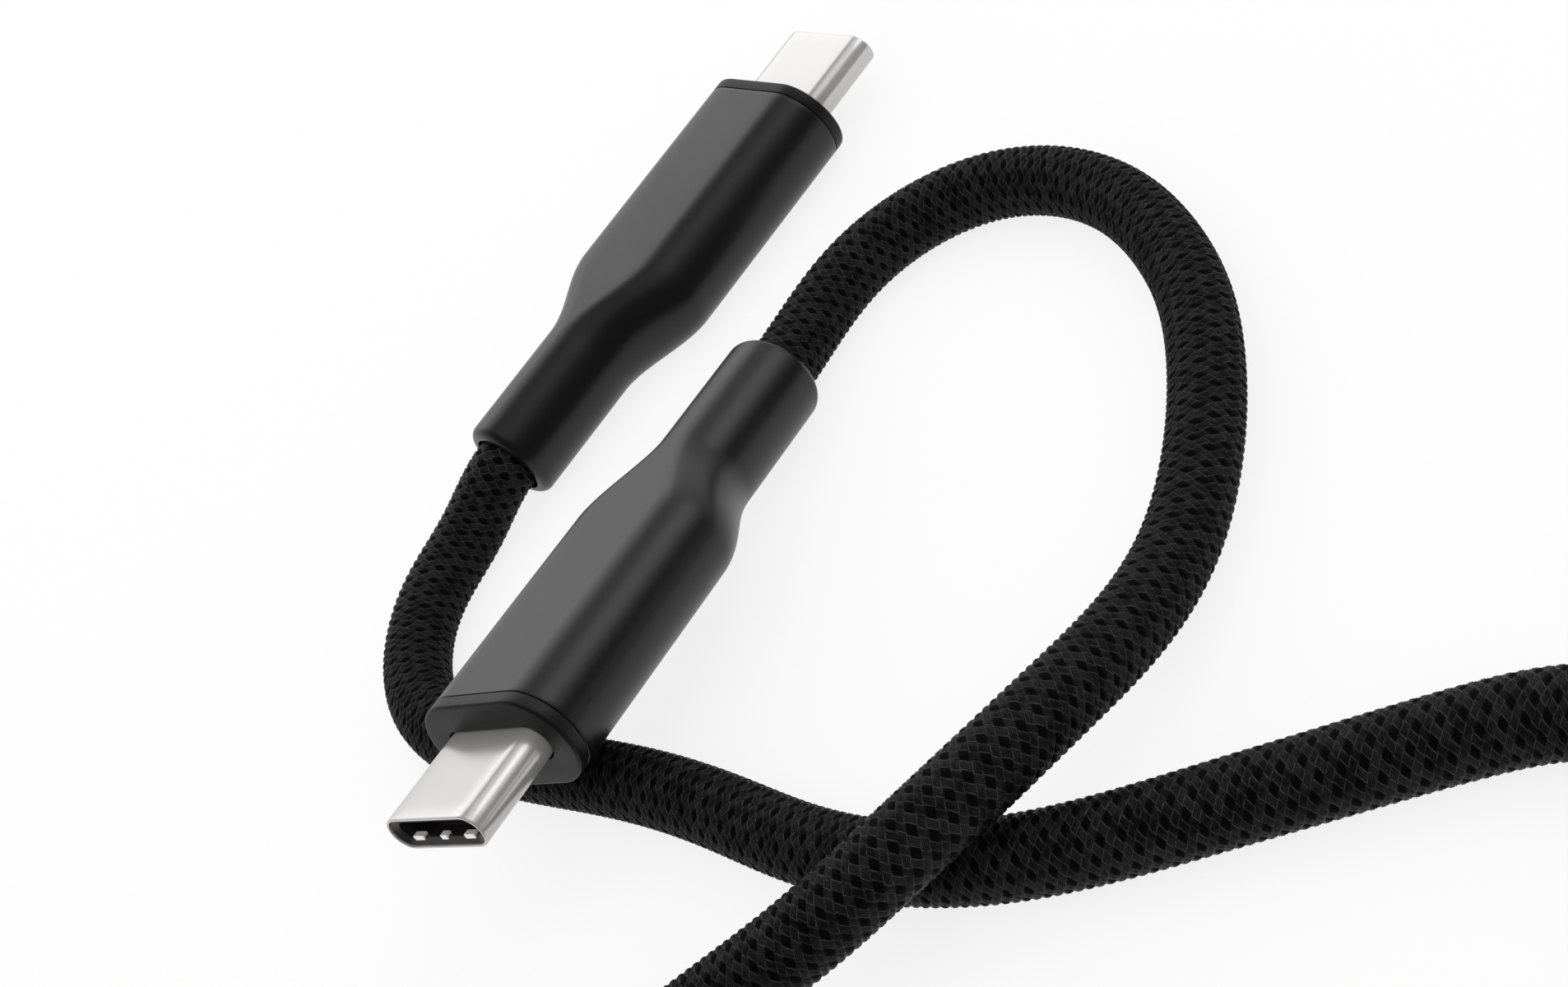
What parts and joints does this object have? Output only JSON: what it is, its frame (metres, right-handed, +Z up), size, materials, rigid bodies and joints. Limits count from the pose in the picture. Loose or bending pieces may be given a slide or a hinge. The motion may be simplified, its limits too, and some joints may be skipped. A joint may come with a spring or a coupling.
{
  "type": "braided charging cable",
  "caption": "Braided charging cable with a reversible obround metal plug in a slim housing at each end, its spare length wound in a flat coil held by a strap.",
  "frame": {"origin": "bottom centre of the box round the two plugs, on the surface that the cable lies on; the cord, its coil and the strap are not counted", "axes": "+Y the way the far plug's metal tip points, +X to the right of it, +Z up"},
  "size_m": [0.1019, 0.1378, 0.0125],
  "materials": {
    "shell": "satin polished stainless steel",
    "lining": "black moulded plastic",
    "spring": "bright spring steel",
    "latch": "stamped spring steel",
    "carrier": "black moulded plastic",
    "contact": "gold plated copper alloy",
    "board": "green solder mask on glass laminate",
    "chip": "black moulded package",
    "capacitor": "fired ceramic",
    "power_wire": "red wire insulation",
    "signal_wire": "white wire insulation",
    "shield": "drawn tinned steel",
    "mould": "natural moulded plastic",
    "crimp": "crimped brass",
    "collar": "dark grey anodised, satin",
    "housing": "dark grey anodised, satin",
    "braid": "braided nylon yarn, dark grey with black",
    "strap": "woven hook and loop tape"
  },
  "bodies": {
    "root": {"near_plug_shell": "shell", "near_front_insulator": "lining", "near_ground_springs": "spring", "near_latch_plate": "latch", "near_upper_carrier": "carrier", "near_lower_carrier": "carrier", "near_upper_contacts": "contact", "near_lower_contacts": "contact", "near_paddle_board": "board", "near_marker_chip": "chip", "near_capacitors": "capacitor", "near_power_wires": "power_wire", "near_signal_wires": "signal_wire", "near_upper_shield": "shield", "near_lower_shield": "shield", "near_inner_mould": "mould", "near_crimp_ring": "crimp", "near_front_collar": "collar", "near_housing": "housing", "far_plug_shell": "shell", "far_front_insulator": "lining", "far_ground_springs": "spring", "far_latch_plate": "latch", "far_upper_carrier": "carrier", "far_lower_carrier": "carrier", "far_upper_contacts": "contact", "far_lower_contacts": "contact", "far_paddle_board": "board", "far_capacitors": "capacitor", "far_power_wires": "power_wire", "far_signal_wires": "signal_wire", "far_upper_shield": "shield", "far_lower_shield": "shield", "far_inner_mould": "mould", "far_crimp_ring": "crimp", "far_front_collar": "collar", "far_housing": "housing", "near_cord": "braid", "cord_coil": "braid", "far_cord": "braid", "coil_tie": "strap"}
  },
  "joints": []
}
